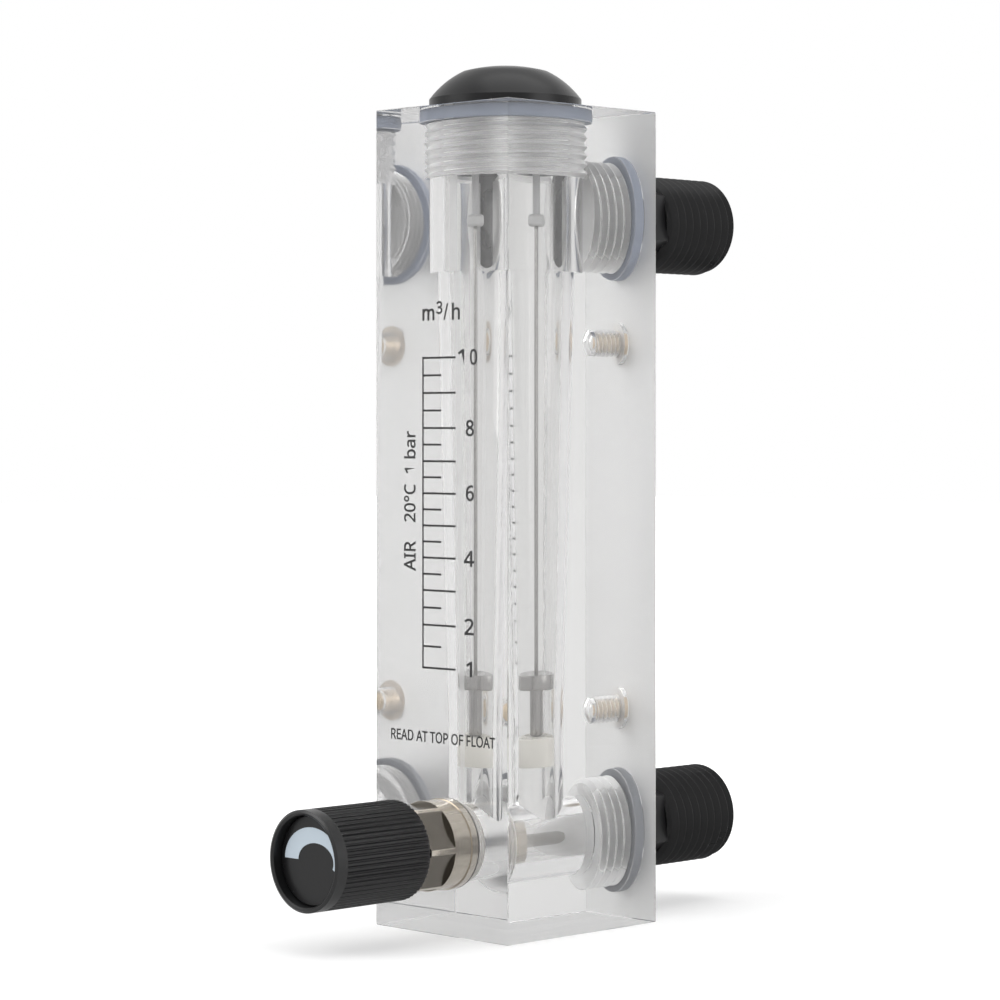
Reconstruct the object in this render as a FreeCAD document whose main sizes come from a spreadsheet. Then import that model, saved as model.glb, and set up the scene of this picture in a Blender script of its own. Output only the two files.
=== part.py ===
import FreeCAD, Part
import math
import os
import re

import Sketcher

# Panel-mount rotameter: a clear acrylic block with a tapered metering bore, a float on a guide rod,
# a screw valve at the lower front and two threaded hose connectors at the back.
# Frame: Z is the metering axis and the origin is where it meets the base. The dial faces -Y and the ports
# leave along +Y.

doc = FreeCAD.newDocument("rotameter")
sheet = doc.addObject("Spreadsheet::Sheet", "Sizes")

SIZES = [
    # block
    ("block_width", 39.0, "acrylic block, across the dial face"),
    ("block_head", 22.0, "upper port axis to the block's top"),
    ("axis_to_front", 18.7, "metering axis to the dial face"),
    ("axis_to_back", 25.3, "metering axis to the back face"),
    ("block_edge", 0.4, "chamfer on the block's outer edges"),
    # metering bore
    ("bore_foot_radius", 6.95, "straight foot of the bore"),
    ("taper_start_rise", 22.4, "valve axis to the start of the taper"),
    ("taper_end_drop", 12.1, "upper port axis to the end of the taper"),
    ("taper_end_radius", 9.9, "bore at the top of the taper"),
    ("chamber_radius", 12.0, "upper chamber"),
    # ports and valve way
    ("port_height", 18.6, "lower port and valve axis above the base"),
    ("port_pitch", 129.4, "between the two port axes"),
    ("port_thread_radius", 11.7, "tapped ports"),
    ("lower_port_depth", 12.4, "lower port, from the back face"),
    ("upper_port_depth", 13.8, "upper port, from the back face into the upper chamber"),
    ("port_seal_radius", 13.1, "seal recess round a port"),
    ("seal_flat", 0.4, "flat of a squeezed seal"),
    ("port_end_gap", 3.4, "lower connector short of its port's floor"),
    ("upper_end_gap", 2.8, "upper connector short of its port's floor"),
    ("way_radius", 8.25, "bore from the dial face to the lower port"),
    # top plug
    ("plug_thread_radius", 13.22, "plug thread, outside"),
    ("plug_length", 13.0, "plug below the block's top"),
    ("plug_runout", 1.5, "tapped bore below the plug"),
    ("plug_seal_radius", 14.5, "seal recess round the plug"),
    ("plug_neck_radius", 12.1, "plug inside its seal"),
    ("plug_head_radius", 15.9, "domed head"),
    ("plug_rim_height", 2.1, "straight rim under the dome"),
    ("plug_shoulder_radius", 9.0, "where the dome's shoulder meets its crown"),
    ("plug_shoulder_height", 7.9, "shoulder above the block's top"),
    ("plug_shoulder_curve", 19.0, "curve of the shoulder"),
    ("plug_crown_height", 9.1, "crown above the block's top"),
    ("plug_recess_radius", 9.5, "recess in the plug's underside"),
    ("plug_recess_depth", 7.0, "recess in the plug's underside"),
    ("plug_boss_radius", 3.2, "boss round the rod sleeve"),
    # guide rod, stops and float
    ("rod_radius", 0.75, "guide rod"),
    ("rod_end_gap", 1.0, "rod short of the sleeve's end"),
    ("sleeve_radius", 1.4, "rod sleeve"),
    ("sleeve_grip", 6.0, "rod sleeve held in the plug"),
    ("sleeve_drop", 9.0, "rod sleeve below the plug"),
    ("bead_radius", 2.6, "upper stop bead"),
    ("bead_height", 2.4, "upper stop bead"),
    ("bead_curve", 1.5, "curve of the bead's side"),
    ("guide_rise", 15.3, "valve axis to the lower guide"),
    ("guide_height", 5.9, "lower guide"),
    ("guide_grip", 4.5, "rod held in the lower guide"),
    ("flow_hole_radius", 1.25, "holes through the lower guide"),
    ("flow_hole_circle", 4.8, "circle of those holes, radius"),
    ("flow_hole_count", 6, "holes through the lower guide"),
    ("float_gap", 0.2, "float above the lower guide at rest"),
    ("float_radius", 6.7, "float disc"),
    ("float_disc_height", 3.1, "float disc"),
    ("float_stem_radius", 2.5, "float stem"),
    ("float_stem_length", 9.7, "float stem below the disc"),
    ("float_edge", 0.3, "chamfers on the float"),
    ("reading_edge", 0.1, "chamfer on the top edge, which is read"),
    ("float_bore_gap", 0.2, "float bore over the rod, radial"),
    # valve bonnet
    ("bonnet_radius", 9.2, "bonnet outside the block"),
    ("bonnet_flats", 16.4, "across the six flats"),
    ("flats_start", 4.6, "flats stop short of the dial face"),
    ("knob_rest_gap", 0.3, "bonnet's shoulder to the knob, valve shut"),
    ("bonnet_bevel", 0.7, "bevel on the bonnet's shoulder"),
    ("neck_radius", 7.0, "bonnet neck inside the knob"),
    ("neck_floor_gap", 0.6, "bonnet neck to the floor of the knob's hollow"),
    ("collar_depth", 3.0, "bonnet collar sunk in the dial face"),
    ("collar_gap", 0.15, "collar in its recess, radial"),
    ("gasket_height", 0.7, "flat gasket behind the collar"),
    ("shank_end", 8.6, "end of the bonnet's thread in the block"),
    ("nose_end", 12.0, "end of the bonnet's smooth nose"),
    ("nose_gap", 0.15, "nose in the way, radial"),
    # spindle, seat and their seals
    ("gland_radius", 4.3, "spindle piston in the bonnet's gland bore"),
    ("gland_start", 4.2, "front end of the gland bore, in front of the dial face"),
    ("piston_start", 1.6, "front end of the piston"),
    ("piston_end", 7.9, "rear end of the piston"),
    ("slide_gap", 0.06, "spindle in the bonnet, radial"),
    ("oring_radius", 0.75, "spindle O-ring section"),
    ("oring_gap", 0.03, "O-ring to its groove and to the bore"),
    ("oring_place", 4.7, "spindle O-ring behind the dial face"),
    ("groove_width", 1.9, "O-ring groove"),
    ("spindle_thread_radius", 3.0, "spindle thread, outside"),
    ("spindle_radius", 2.5, "spindle in the water way"),
    ("cone_length", 3.0, "spindle cone"),
    ("seat_gap", 0.13, "cone to the seat's edge, valve shut"),
    ("cone_tip_radius", 0.9, "spindle tip"),
    ("drive_flats", 4.0, "square of the spindle in the knob"),
    ("seat_start", 28.9, "valve seat behind the dial face"),
    ("seat_height", 2.4, "valve seat"),
    ("seat_bore_radius", 2.1, "valve seat opening"),
    # knob
    ("knob_radius", 10.15, "knob"),
    ("knob_gap", 12.2, "knob to the dial face, valve shut"),
    ("knob_length", 25.3, "knob"),
    ("skirt_radius", 7.5, "hollow in the knob's back"),
    ("skirt_depth", 9.8, "hollow in the knob's back"),
    ("dish_radius", 9.0, "recess in the knob's front"),
    ("dish_depth", 2.2, "recess in the knob's front"),
    ("front_round", 0.4, "rounding of the knob's front rim"),
    ("back_round", 0.5, "rounding of the knob's back rim"),
    ("plain_band", 2.9, "plain band in front of the flutes"),
    ("flute_count", 57, "flutes round the knob"),
    ("flute_depth", 0.4, "flute"),
    ("flute_share", 0.8, "flute width, as a share of its pitch"),
    ("cap_height", 1.2, "cap disc in the knob"),
    ("screw_pocket_radius", 3.2, "pocket for the screw head"),
    ("screw_head_radius", 2.75, "knob screw"),
    ("screw_head_height", 2.0, "knob screw"),
    ("screw_radius", 1.5, "knob screw"),
    ("screw_length", 8.0, "knob screw below its head"),
    ("screw_hole_spare", 1.0, "tapped hole past the screw's end"),
    ("screw_slot", 0.8, "driver slot"),
    ("screw_cover_gap", 0.6, "screw head to the cap disc"),
    # connectors
    ("pipe_radius", 10.4775, "G 1/2 pipe thread, outside"),
    ("hexagon_end", 15.0, "hexagon behind the back face"),
    ("connector_flats", 17.0, "hexagon across flats"),
    ("nut_core_gap", 0.5, "round core inside the hexagon's flats"),
    ("connector_tilt", -6.0, "turn of the hexagon's corner, degrees"),
    ("connector_reach", 36.2, "connector behind the back face"),
    ("pipe_lead", 1.0, "chamfer at the pipe's end"),
    ("thread_pitch", 2.3, "pipe thread"),
    ("thread_depth", 1.15, "pipe thread"),
    ("thread_grooves", 8, "grooves of the pipe thread"),
    ("thread_crest", 0.35, "flat left between two grooves"),
    ("connector_neck_radius", 10.7, "connector inside its seal"),
    ("flow_radius", 6.2, "flow bore of a connector"),
    # panel mounting
    ("mount_pitch", 77.2, "between the two mounting holes"),
    ("mount_drop", 0.4, "middle of the mounting holes below the middle of the ports"),
    ("mount_hole_depth", 11.6, "mounting hole"),
    ("drill_point", 118.0, "point angle of the mounting hole, degrees"),
    ("insert_radius", 2.9, "brass insert, outside"),
    ("insert_length", 8.6, "brass insert"),
    ("insert_flange_radius", 4.45, "flange of the insert"),
    ("insert_flange_height", 1.2, "flange of the insert"),
    ("insert_bore_radius", 2.0, "tapped bore of the insert"),
    ("insert_floor", 0.8, "closed inner end of the insert"),
    # how far a cutter runs past the surface it opens
    ("cut_over", 1.0, "pockets and bores"),
    ("flute_over", 0.1, "knob flutes"),
    ("groove_over", 0.05, "thread grooves"),
]

for row, (alias, value, note) in enumerate(SIZES, start=1):
    sheet.set(f"A{row}", alias)
    sheet.set(f"B{row}", str(value))
    sheet.setAlias(f"B{row}", alias)
    sheet.set(f"C{row}", note)
doc.recompute()


def bound(expression):
    """The expression with each size name pointing at the sheet."""
    return re.sub(r"\b([a-z]\w*_\w+)\b", r"Sizes.\1", expression)


def number(expression):
    """The expression's value now."""
    return float(sheet.evalExpression(bound(expression)))


def new_body(label, x="0", y="0", z="0"):
    """An empty body whose place follows the sheet."""
    body = doc.addObject("PartDesign::Body", label)
    body.Label = label
    for axis, place in zip("xyz", (x, y, z)):
        if place != "0":
            body.setExpression(f"Placement.Base.{axis}", bound(place))
    return body


def new_sketch(body, name, plane, across="0", up="0", out="0", turn="0"):
    """A sketch on one of the body's own origin planes, shifted in that plane, along its normal or turned."""
    sketch = body.newObject("Sketcher::SketchObject", name)
    base = [p for p in body.Origin.OriginFeatures if p.Role == plane][0]
    sketch.AttachmentSupport = [(base, "")]
    sketch.MapMode = "FlatFace"
    for axis, shift in zip("xyz", (across, up, out)):
        if shift != "0":
            sketch.setExpression(f"AttachmentOffset.Base.{axis}", bound(shift))
    if turn != "0":
        about_normal = FreeCAD.Rotation(FreeCAD.Vector(0, 0, 1), 1)
        sketch.AttachmentOffset = FreeCAD.Placement(FreeCAD.Vector(), about_normal)
        sketch.setExpression("AttachmentOffset.Rotation.Angle", bound(turn))
    return sketch


HALF = "half"


def arc_between(start, end, radius):
    """The arc from start to end that bulges to the left of the way for a positive radius."""
    chord = end - start
    rise = math.sqrt(max(radius * radius - chord.Length**2 / 4, 0))
    side = FreeCAD.Vector(chord.y, -chord.x, 0).normalize()
    centre = (start + end) / 2 + side * (rise if radius > 0 else -rise)
    angles = [math.atan2(p.y - centre.y, p.x - centre.x) for p in (start, end)]
    if radius > 0:
        angles.reverse()
    circle = Part.Circle(centre, FreeCAD.Vector(0, 0, 1), abs(radius))
    if angles[1] <= angles[0]:
        angles[1] += 2 * math.pi
    return Part.ArcOfCircle(circle, angles[0], angles[1])


def pin_point(sketch, edge, end, across, up):
    """Holds a sketch point at two expressions measured from the sketch's origin."""
    for kind, axis, place in (("DistanceX", -2, across), ("DistanceY", -1, up)):
        if place == "0":
            sketch.addConstraint(Sketcher.Constraint("PointOnObject", edge, end, axis))
        else:
            index = sketch.addConstraint(Sketcher.Constraint(kind, -1, 1, edge, end, number(place)))
            sketch.setExpression(f"Constraints[{index}]", bound(place))


def draw_outline(sketch, points):
    """A closed outline. Each point is (across, up), or (across, up, radius) where the edge that arrives is an
    arc, which bulges to the left of the way, or to its right for a negative radius. HALF is a half circle."""
    places = [FreeCAD.Vector(number(p[0]), number(p[1]), 0) for p in points]
    ends = []
    for i, point in enumerate(points):
        before = places[i - 1]
        if len(point) == 3:
            half = point[2] in (HALF, f"-{HALF}")
            radius = (places[i] - before).Length / 2 if half else number(point[2])
            if point[2] == f"-{HALF}":
                radius = -radius
            edge = sketch.addGeometry(arc_between(before, places[i], radius), False)
            if half:
                sketch.addConstraint(Sketcher.Constraint("Symmetric", edge, 1, edge, 2, edge, 3))
            else:
                index = sketch.addConstraint(Sketcher.Constraint("Radius", edge, abs(radius)))
                sketch.setExpression(f"Constraints[{index}]", bound(f"abs({point[2]})"))
            ends.append((edge, 2, 1) if radius > 0 else (edge, 1, 2))
        else:
            ends.append((sketch.addGeometry(Part.LineSegment(before, places[i]), False), 1, 2))
    for i, point in enumerate(points):
        edge, _, last = ends[i]
        following, first, _ = ends[(i + 1) % len(points)]
        sketch.addConstraint(Sketcher.Constraint("Coincident", edge, last, following, first))
        pin_point(sketch, edge, last, point[0], point[1])


def draw_circle(sketch, across, up, radius):
    centre = FreeCAD.Vector(number(across), number(up), 0)
    edge = sketch.addGeometry(Part.Circle(centre, FreeCAD.Vector(0, 0, 1), number(radius)), False)
    index = sketch.addConstraint(Sketcher.Constraint("Radius", edge, number(radius)))
    sketch.setExpression(f"Constraints[{index}]", bound(radius))
    pin_point(sketch, edge, 3, across, up)


def turned(body, name, points, upright=True, cut=False, height="0"):
    """Turns an outline about Z, with points (radius, height), or about Y, with points (way, radius)."""
    sketch = new_sketch(body, f"{name}_outline", "XZ_Plane" if upright else "YZ_Plane", up=height)
    draw_outline(sketch, points)
    feature = body.newObject("PartDesign::Groove" if cut else "PartDesign::Revolution", name)
    feature.Profile = sketch
    feature.ReferenceAxis = (sketch, ["V_Axis" if upright else "H_Axis"])
    feature.Angle = 360
    doc.recompute()
    return feature


def ring(body, name, inner, outer, low, high, upright=True):
    """A plain turned ring."""
    corners = [(inner, low), (outer, low), (outer, high), (inner, high)]
    if not upright:
        corners = [(way, radius) for radius, way in corners]
    return turned(body, name, corners, upright)


def squeezed_ring(body, name, inner, outer, mouth, upright=True):
    """An O-ring squeezed between two radii: flat where it bears, round at its ends, just below `mouth`."""
    section = f"({outer} - {inner}) / 2"
    low = f"{mouth} - {section} - seal_flat"
    high = f"{mouth} - {section}"
    if upright:
        outline = [(inner, low), (outer, low, f"-{HALF}"), (outer, high), (inner, high, f"-{HALF}")]
    else:
        outline = [(low, inner), (low, outer, HALF), (high, outer), (high, inner, HALF)]
    return turned(body, name, outline, upright)


def pocket(body, name, points, out, length, reverse=False):
    """A pocket of the given length from a sketch that lies `out` in front of the body's origin."""
    sketch = new_sketch(body, f"{name}_outline", "XZ_Plane", out=out)
    draw_outline(sketch, points)
    feature = body.newObject("PartDesign::Pocket", name)
    feature.Profile = sketch
    feature.Reversed = reverse
    feature.setExpression("Length", bound(length))
    doc.recompute()
    return feature


def rectangle(half_width, low, high):
    return [(f"-({half_width})", low), (half_width, low), (half_width, high), (f"-({half_width})", high)]


def polar(body, name, feature, axis, count):
    """Repeats a feature round one of the body's axes."""
    pattern = body.newObject("PartDesign::PolarPattern", name)
    pattern.Originals = [feature]
    line = [a for a in body.Origin.OriginFeatures if a.Role == axis][0]
    pattern.Axis = (line, [""])
    pattern.Angle = 360
    pattern.setExpression("Occurrences", bound(count))
    body.Tip = pattern
    doc.recompute()
    return pattern


def along_y(body, name, feature, pitch, count):
    """Repeats a feature along +Y."""
    pattern = body.newObject("PartDesign::LinearPattern", name)
    pattern.Originals = [feature]
    line = [a for a in body.Origin.OriginFeatures if a.Role == "Y_Axis"][0]
    pattern.Direction = (line, [""])
    pattern.setExpression("Length", bound(f"{pitch} * ({count} - 1)"))
    pattern.setExpression("Occurrences", bound(count))
    body.Tip = pattern
    doc.recompute()
    return pattern


def hexagon(body, name, flats, tilt, start, length):
    """A hexagonal prism with its corners at +X and -X, tilted, from `start` in front of the body's origin."""
    sketch = new_sketch(body, f"{name}_outline", "XZ_Plane", out=start, turn=tilt)
    corner = f"{flats} / sqrt(3)"
    half = f"{flats} / 2"
    points = [(corner, "0"), (f"{corner} / 2", half), (f"-{corner} / 2", half)]
    points += [(f"-{corner}", "0"), (f"-{corner} / 2", f"-{half}"), (f"{corner} / 2", f"-{half}")]
    draw_outline(sketch, points)
    pad = body.newObject("PartDesign::Pad", name)
    pad.Profile = sketch
    pad.setExpression("Length", bound(length))
    doc.recompute()
    return pad


# Places that several pieces share
UPPER_PORT = "(port_height + port_pitch)"
BLOCK_TOP = "(port_height + port_pitch + block_head)"
PLUG_FOOT = "(port_height + port_pitch + block_head - plug_length)"
TAPER_START = "(port_height + taper_start_rise)"
TAPER_END = "(port_height + port_pitch - taper_end_drop)"
GUIDE_FOOT = "(port_height + guide_rise)"
LOWER_MOUNT = "(port_height + port_pitch / 2 - mount_drop - mount_pitch / 2)"
UPPER_MOUNT = "(port_height + port_pitch / 2 - mount_drop + mount_pitch / 2)"
PORT_SEAL_DEPTH = "(port_seal_radius - connector_neck_radius + seal_flat)"
PLUG_SEAL_DEPTH = "(plug_seal_radius - plug_neck_radius + seal_flat)"
COLLAR_RECESS = "(collar_depth + gasket_height)"
GLAND_BORE = "(gland_radius + slide_gap)"
KNOB_BACK = "-knob_gap"
KNOB_HUB = "-(knob_gap + skirt_depth)"
KNOB_FRONT = "-(knob_gap + knob_length)"
KNOB_DISH = "-(knob_gap + knob_length - dish_depth)"
KNOB_SHELF = "-(knob_gap + knob_length - dish_depth - cap_height)"
SCREW_FACE = "-(knob_gap + knob_length - dish_depth - cap_height - screw_cover_gap)"
SPINDLE_END = "-(knob_gap + knob_length - dish_depth - cap_height - screw_cover_gap - screw_head_height)"


def port_outline(depth):
    """Half section of a tapped port with its seal recess, from its floor to the back face."""
    mouth = f"axis_to_back - {PORT_SEAL_DEPTH}"
    return [(f"axis_to_back - {depth}", "port_thread_radius"), (mouth, "port_thread_radius"),
            (mouth, "port_seal_radius"), ("axis_to_back", "port_seal_radius"), ("axis_to_back", "0")]


def make_block():
    """Clear block: metering bore and plug seat from above, valve way with the lower port, upper port and two
    blind mounting holes."""
    body = new_body("block")
    sketch = new_sketch(body, "plan", "XY_Plane")
    draw_outline(sketch, rectangle("block_width / 2", "-axis_to_front", "axis_to_back"))
    pad = body.newObject("PartDesign::Pad", "stock")
    pad.Profile = sketch
    pad.setExpression("Length", bound(BLOCK_TOP))
    doc.recompute()
    edges = body.newObject("PartDesign::Chamfer", "outer_edges")
    edges.Base = (pad, [f"Edge{i + 1}" for i in range(len(pad.Shape.Edges))])
    edges.setExpression("Size", bound("block_edge"))
    doc.recompute()

    tapped = f"{PLUG_FOOT} - plug_runout"
    mouth = f"{BLOCK_TOP} - {PLUG_SEAL_DEPTH}"
    bore = [("0", "port_height"), ("bore_foot_radius", "port_height"), ("bore_foot_radius", TAPER_START)]
    bore += [("taper_end_radius", TAPER_END), ("chamber_radius", TAPER_END), ("chamber_radius", tapped)]
    bore += [("plug_thread_radius", tapped), ("plug_thread_radius", mouth), ("plug_seal_radius", mouth)]
    bore += [("plug_seal_radius", BLOCK_TOP), ("0", BLOCK_TOP)]
    turned(body, "metering_bore", bore, cut=True)

    recess = f"{COLLAR_RECESS} - axis_to_front"
    way = [("-axis_to_front", "0"), ("-axis_to_front", "bonnet_radius + collar_gap")]
    way += [(recess, "bonnet_radius + collar_gap"), (recess, "way_radius")]
    way += [("axis_to_back - lower_port_depth", "way_radius")]
    turned(body, "valve_way", way + port_outline("lower_port_depth"), False, True, "port_height")
    upper = [("axis_to_back - upper_port_depth", "0")] + port_outline("upper_port_depth")
    turned(body, "upper_port", upper, False, True, UPPER_PORT)

    flange = "axis_to_back - insert_flange_height"
    floor = "axis_to_back - mount_hole_depth"
    hole = [(floor, "0"), (f"{floor} + insert_radius / tan(drill_point / 2)", "insert_radius")]
    hole += [(flange, "insert_radius"), (flange, "insert_flange_radius")]
    hole += [("axis_to_back", "insert_flange_radius"), ("axis_to_back", "0")]
    turned(body, "lower_mount_hole", hole, False, True, LOWER_MOUNT)
    turned(body, "upper_mount_hole", hole, False, True, UPPER_MOUNT)


def make_plug():
    """Black plug: domed head, neck inside the seal, thread, and the sleeve's boss in a hollow underside."""
    body = new_body("top_plug", z=BLOCK_TOP)
    foot = "-plug_length"
    grip = f"{foot} + sleeve_grip"
    recess = f"{foot} + plug_recess_depth"
    seal = f"-{PLUG_SEAL_DEPTH}"
    outline = [("0", grip), ("sleeve_radius", grip), ("sleeve_radius", foot), ("plug_boss_radius", foot)]
    outline += [("plug_boss_radius", recess), ("plug_recess_radius", recess), ("plug_recess_radius", foot)]
    outline += [("plug_thread_radius", foot), ("plug_thread_radius", seal), ("plug_neck_radius", seal)]
    outline += [("plug_neck_radius", "0"), ("plug_head_radius", "0"), ("plug_head_radius", "plug_rim_height")]
    outline += [("plug_shoulder_radius", "plug_shoulder_height", "-plug_shoulder_curve")]
    rise = "(plug_crown_height - plug_shoulder_height)"
    crown = f"(plug_shoulder_radius ^ 2 + {rise} ^ 2) / (2 * {rise})"
    outline += [("0", "plug_crown_height", f"-({crown})")]
    turned(body, "plug", outline)

    seal_body = new_body("plug_seal", z=BLOCK_TOP)
    squeezed_ring(seal_body, "seal", "plug_neck_radius", "plug_seal_radius", "0")


def make_rod():
    """Rod sleeve in the plug, stop bead under it, guide rod, and the lower guide with its flow holes."""
    sleeve = new_body("rod_sleeve", z=PLUG_FOOT)
    ring(sleeve, "tube", "rod_radius", "sleeve_radius", "-sleeve_drop", "sleeve_grip")

    bead = new_body("stop_bead", z=f"{PLUG_FOOT} - sleeve_drop - bead_height")
    flank = "bead_radius - bead_height / 4"
    outline = [("rod_radius", "0"), (flank, "0"), (flank, "bead_height", "-bead_curve")]
    turned(bead, "bead", outline + [("rod_radius", "bead_height")])

    rod = new_body("guide_rod", z=f"{GUIDE_FOOT} + guide_height - guide_grip")
    length = f"({PLUG_FOOT} + sleeve_grip - rod_end_gap - {GUIDE_FOOT} - guide_height + guide_grip)"
    turned(rod, "rod", [("0", "0"), ("rod_radius", "0"), ("rod_radius", length), ("0", length)])

    guide = new_body("lower_guide", z=GUIDE_FOOT)
    floor = "guide_height - guide_grip"
    outline = [("0", "0"), ("bore_foot_radius", "0"), ("bore_foot_radius", "guide_height")]
    turned(guide, "bush", outline + [("rod_radius", "guide_height"), ("rod_radius", floor), ("0", floor)])
    sketch = new_sketch(guide, "flow_hole_outline", "XY_Plane")
    draw_circle(sketch, "flow_hole_circle", "0", "flow_hole_radius")
    hole = guide.newObject("PartDesign::Pocket", "flow_hole")
    hole.Profile = sketch
    hole.Reversed = True
    hole.setExpression("Length", bound("guide_height + cut_over"))
    doc.recompute()
    polar(guide, "flow_holes", hole, "Z_Axis", "flow_hole_count")


def make_float():
    """Steel float: a thin disc, whose top edge is read, on a stem that stands over the lower guide."""
    body = new_body("float", z=f"{GUIDE_FOOT} + guide_height + float_gap")
    bore = "rod_radius + float_bore_gap"
    top = "(float_stem_length + float_disc_height)"
    outline = [(bore, "0"), ("float_stem_radius - float_edge", "0"), ("float_stem_radius", "float_edge")]
    outline += [("float_stem_radius", "float_stem_length")]
    outline += [("float_radius - float_edge", "float_stem_length")]
    outline += [("float_radius", "float_stem_length + float_edge")]
    outline += [("float_radius", f"{top} - reading_edge"), ("float_radius - reading_edge", top), (bore, top)]
    turned(body, "disc_and_stem", outline)


def make_bonnet():
    """Valve bonnet: collar sunk in the dial face, six flats, threaded shank and a neck inside the knob."""
    body = new_body("bonnet", y="-axis_to_front", z="port_height")
    thread = "(spindle_thread_radius + slide_gap)"
    shoulder = "-(knob_gap - knob_rest_gap)"
    neck_end = "-(knob_gap + skirt_depth - neck_floor_gap)"
    nose = "way_radius - nose_gap"
    outline = [(neck_end, thread), ("-gland_start", thread), ("-gland_start", GLAND_BORE)]
    outline += [("nose_end", GLAND_BORE), ("nose_end", nose), ("shank_end", nose)]
    outline += [("shank_end", "way_radius"), ("collar_depth", "way_radius")]
    outline += [("collar_depth", "bonnet_radius")]
    outline += [(f"{shoulder} + bonnet_bevel", "bonnet_radius"), (shoulder, "bonnet_radius - bonnet_bevel")]
    outline += [(shoulder, "neck_radius"), (neck_end, "neck_radius")]
    turned(body, "barrel", outline, upright=False)
    flat = rectangle("bonnet_radius", "bonnet_flats / 2", "bonnet_radius + cut_over")
    flat_length = "knob_gap - knob_rest_gap - flats_start + cut_over"
    cut = pocket(body, "flat", flat, "flats_start", flat_length, reverse=True)
    polar(body, "flats", cut, "Y_Axis", "6")

    gasket = new_body("bonnet_gasket", y="-axis_to_front", z="port_height")
    outer = "bonnet_radius + collar_gap"
    ring(gasket, "gasket", "way_radius", outer, "collar_depth", COLLAR_RECESS, upright=False)


def make_spindle():
    """Spindle: square for the knob, thread, piston with its O-ring, stem and the cone that shuts the seat."""
    body = new_body("spindle", y="-axis_to_front", z="port_height")
    groove_low = "oring_place - groove_width / 2"
    groove_high = "oring_place + groove_width / 2"
    centre = f"({GLAND_BORE} - oring_gap - oring_radius)"
    floor = f"{centre} - oring_radius - oring_gap"
    cone_fall = "(spindle_radius - cone_tip_radius)"
    cone_start = f"(seat_start - (spindle_radius - seat_bore_radius + seat_gap) * cone_length / {cone_fall})"
    outline = [(KNOB_HUB, "0"), (KNOB_HUB, "spindle_thread_radius")]
    outline += [("piston_start", "spindle_thread_radius"), ("piston_start", "gland_radius")]
    outline += [(groove_low, "gland_radius"), (groove_low, floor), (groove_high, floor)]
    outline += [(groove_high, "gland_radius"), ("piston_end", "gland_radius")]
    outline += [("piston_end", "spindle_radius"), (cone_start, "spindle_radius")]
    outline += [(f"{cone_start} + cone_length", "cone_tip_radius"), (f"{cone_start} + cone_length", "0")]
    turned(body, "turning", outline, upright=False)
    sketch = new_sketch(body, "square_outline", "XZ_Plane", out=f"-({KNOB_HUB})")
    draw_outline(sketch, rectangle("drive_flats / 2", "-drive_flats / 2", "drive_flats / 2"))
    square = body.newObject("PartDesign::Pad", "square")
    square.Profile = sketch
    square.setExpression("Length", bound(f"{KNOB_HUB} - ({SPINDLE_END})"))
    doc.recompute()
    hole_end = f"{SPINDLE_END} + screw_length + screw_hole_spare"
    hole = [(SPINDLE_END, "0"), (SPINDLE_END, "screw_radius"), (hole_end, "screw_radius"), (hole_end, "0")]
    turned(body, "screw_hole", hole, False, True)

    seal = new_body("spindle_oring", y="-axis_to_front", z="port_height")
    left = ("oring_place - oring_radius", centre, HALF)
    right = ("oring_place + oring_radius", centre, HALF)
    turned(seal, "section", [left, right], upright=False)

    seat = new_body("valve_seat", y="-axis_to_front", z="port_height")
    seat_end = "seat_start + seat_height"
    ring(seat, "washer", "seat_bore_radius", "way_radius", "seat_start", seat_end, upright=False)


def make_knob():
    """Fluted knob, dished in front and hollow behind, with its cap disc and the screw that holds it."""
    body = new_body("knob", y="-axis_to_front", z="port_height")
    front_side = "(knob_radius - front_round)"
    back_side = "(knob_radius - back_round)"
    outline = [(KNOB_FRONT, "dish_radius"), (KNOB_SHELF, "dish_radius"), (KNOB_SHELF, "screw_pocket_radius")]
    outline += [(SPINDLE_END, "screw_pocket_radius"), (SPINDLE_END, "0"), (KNOB_HUB, "0")]
    outline += [(KNOB_HUB, "skirt_radius"), (KNOB_BACK, "skirt_radius"), (KNOB_BACK, back_side)]
    outline += [(f"{KNOB_BACK} - back_round", "knob_radius", "-back_round")]
    outline += [(f"{KNOB_FRONT} + front_round", "knob_radius"), (KNOB_FRONT, front_side, "-front_round")]
    turned(body, "shell", outline, upright=False)
    hub_length = f"{KNOB_HUB} - ({SPINDLE_END}) + 2 * cut_over"
    square = rectangle("drive_flats / 2", "-drive_flats / 2", "drive_flats / 2")
    pocket(body, "square_hole", square, f"-({KNOB_HUB}) - cut_over", hub_length, reverse=True)
    half = "(pi * knob_radius / flute_count * flute_share)"
    rim = "knob_radius + flute_over"
    flute = [(f"-{half}", rim), ("0", "knob_radius - flute_depth"), (half, rim)]
    flute_length = "knob_length - plain_band + cut_over"
    cut = pocket(body, "flute", flute, "knob_gap - cut_over", flute_length, reverse=True)
    polar(body, "flutes", cut, "Y_Axis", "flute_count")

    cap = new_body("knob_cap", y="-axis_to_front", z="port_height")
    disc = [(KNOB_DISH, "0"), (KNOB_SHELF, "0"), (KNOB_SHELF, "dish_radius"), (KNOB_DISH, "dish_radius")]
    turned(cap, "disc", disc, upright=False)

    screw = new_body("knob_screw", y="-axis_to_front", z="port_height")
    tip = f"{SPINDLE_END} + screw_length"
    outline = [(SCREW_FACE, "0"), (tip, "0"), (tip, "screw_radius"), (SPINDLE_END, "screw_radius")]
    outline += [(SPINDLE_END, "screw_head_radius"), (SCREW_FACE, "screw_head_radius")]
    turned(screw, "shank", outline, upright=False)
    slot = rectangle("screw_head_radius + cut_over", "-screw_slot / 2", "screw_slot / 2")
    pocket(screw, "slot", slot, f"-({SCREW_FACE})", "screw_head_height / 2")


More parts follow.
